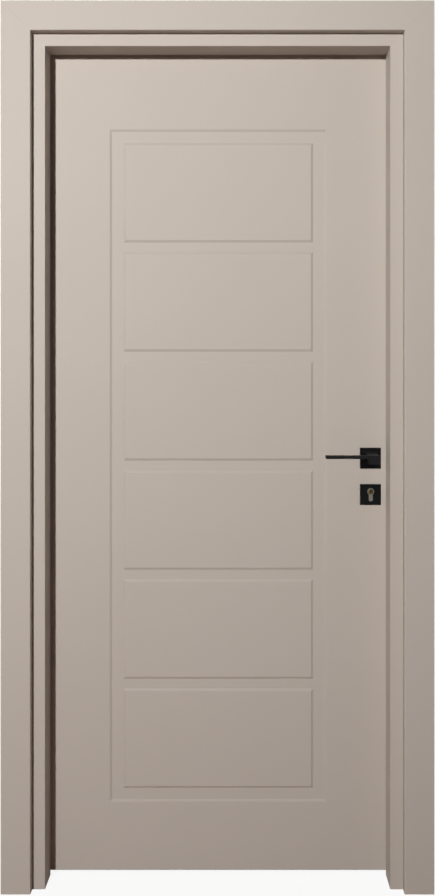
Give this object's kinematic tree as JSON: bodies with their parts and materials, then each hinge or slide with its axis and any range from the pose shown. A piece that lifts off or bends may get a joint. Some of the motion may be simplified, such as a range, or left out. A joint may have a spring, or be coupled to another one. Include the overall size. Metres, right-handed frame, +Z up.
{
  "type": "interior door with frame",
  "caption": "Lacquered panel door leaf hung on butt hinges in a rebated lining frame with mitred casings, with a mortise lock, black levers and a key cylinder.",
  "frame": {"origin": "on the floor, at the middle of the door's width and of its depth over the casing and the pull-side lever", "axes": "+Z up, +X from the hinges to the lock, +Y from the push side to the pull side, where the leaf opens"},
  "size_m": [1.046, 0.188, 2.155],
  "materials": {
    "lacquered_board": "satin greige lacquer on fibreboard",
    "leaf_timber": "softwood, lacquered where it shows",
    "core_board": "light particle board",
    "seal_rubber": "matte",
    "satin_black": "matte black coat on zinc alloy",
    "black_hinge": "matte black coat on steel",
    "zinc_screw": "zinc plated",
    "lock_steel": "satin nickel plated",
    "bolt_steel": "nickel plated",
    "nickel_brass": "satin nickel on brass",
    "base_plastic": "moulded"
  },
  "bodies": {
    "frame": {"hinge_jamb": "lacquered_board", "lock_jamb": "lacquered_board", "head_jamb": "lacquered_board", "hinge_casing_push_side": "lacquered_board", "lock_casing_push_side": "lacquered_board", "head_casing_push_side": "lacquered_board", "hinge_casing_pull_side": "lacquered_board", "lock_casing_pull_side": "lacquered_board", "head_casing_pull_side": "lacquered_board", "hinge_seal": "seal_rubber", "lock_seal": "seal_rubber", "head_seal": "seal_rubber", "strike_plate": "lock_steel", "strike_screws": "zinc_screw", "bottom_hinge_jamb_wing": "black_hinge", "middle_hinge_jamb_wing": "black_hinge", "top_hinge_jamb_wing": "black_hinge", "bottom_hinge_pin": "black_hinge", "middle_hinge_pin": "black_hinge", "top_hinge_pin": "black_hinge", "jamb_hinge_screws": "zinc_screw"},
    "leaf": {"leaf_push_skin": "lacquered_board", "leaf_pull_skin": "lacquered_board", "hinge_stile": "leaf_timber", "lock_stile": "leaf_timber", "lock_block": "leaf_timber", "top_rail": "leaf_timber", "bottom_rail": "leaf_timber", "leaf_core": "core_board", "bottom_hinge_leaf_wing": "black_hinge", "middle_hinge_leaf_wing": "black_hinge", "top_hinge_leaf_wing": "black_hinge", "leaf_hinge_screws": "zinc_screw", "lock_forend": "lock_steel", "lock_case": "lock_steel", "forend_screws": "zinc_screw", "cylinder_body": "nickel_brass", "cylinder_screw": "zinc_screw", "push_side_handle_rosette": "satin_black", "push_side_handle_base": "base_plastic", "push_side_key_rosette": "satin_black", "push_side_key_base": "base_plastic", "pull_side_handle_rosette": "satin_black", "pull_side_handle_base": "base_plastic", "pull_side_key_rosette": "satin_black", "pull_side_key_base": "base_plastic", "rosette_screws": "zinc_screw"},
    "lever_set": {"push_side_lever": "satin_black", "pull_side_lever": "satin_black", "spindle": "lock_steel", "lock_follower": "lock_steel"},
    "latch": {"latch_bolt": "bolt_steel"},
    "bolt": {"dead_bolt": "bolt_steel"},
    "push_key": {"push_side_plug": "nickel_brass", "cylinder_cam": "bolt_steel"},
    "pull_key": {"pull_side_plug": "nickel_brass"}
  },
  "joints": [
    {"name": "door_swing", "type": "hinge", "parent": "frame", "child": "leaf", "pos_m": [-0.4325, 0.0428, 0], "axis": [0, 0, 1], "range_deg": [0, 150]},
    {"name": "lever_turn", "type": "hinge", "parent": "leaf", "child": "lever_set", "pos_m": [0.381, 0.016, 1.043], "axis": [0, -1, 0], "range_deg": [0, 40], "stiffness_Nm_per_rad": 1, "springref_deg": -20.05},
    {"name": "latch_slide", "type": "slide", "parent": "leaf", "child": "latch", "axis": [-1, 0, 0], "range_m": [0, 0.012]},
    {"name": "push_key_turn", "type": "hinge", "parent": "leaf", "child": "push_key", "pos_m": [0.381, 0.016, 0.96], "axis": [0, 1, 0], "range_deg": [0, 360]},
    {"name": "bolt_slide", "type": "slide", "parent": "leaf", "child": "bolt", "axis": [1, 0, 0], "range_m": [0, 0.02]},
    {"name": "pull_key_turn", "type": "hinge", "parent": "leaf", "child": "pull_key", "pos_m": [0.381, 0.016, 0.96], "axis": [0, 1, 0], "range_deg": [0, 360]}
  ],
  "couplings": [
    {"joint": "latch_slide", "follows": "lever_turn", "m_per_rad": 0.017189},
    {"joint": "push_key_turn", "follows": "bolt_slide", "rad_per_m": 314.16}
  ]
}
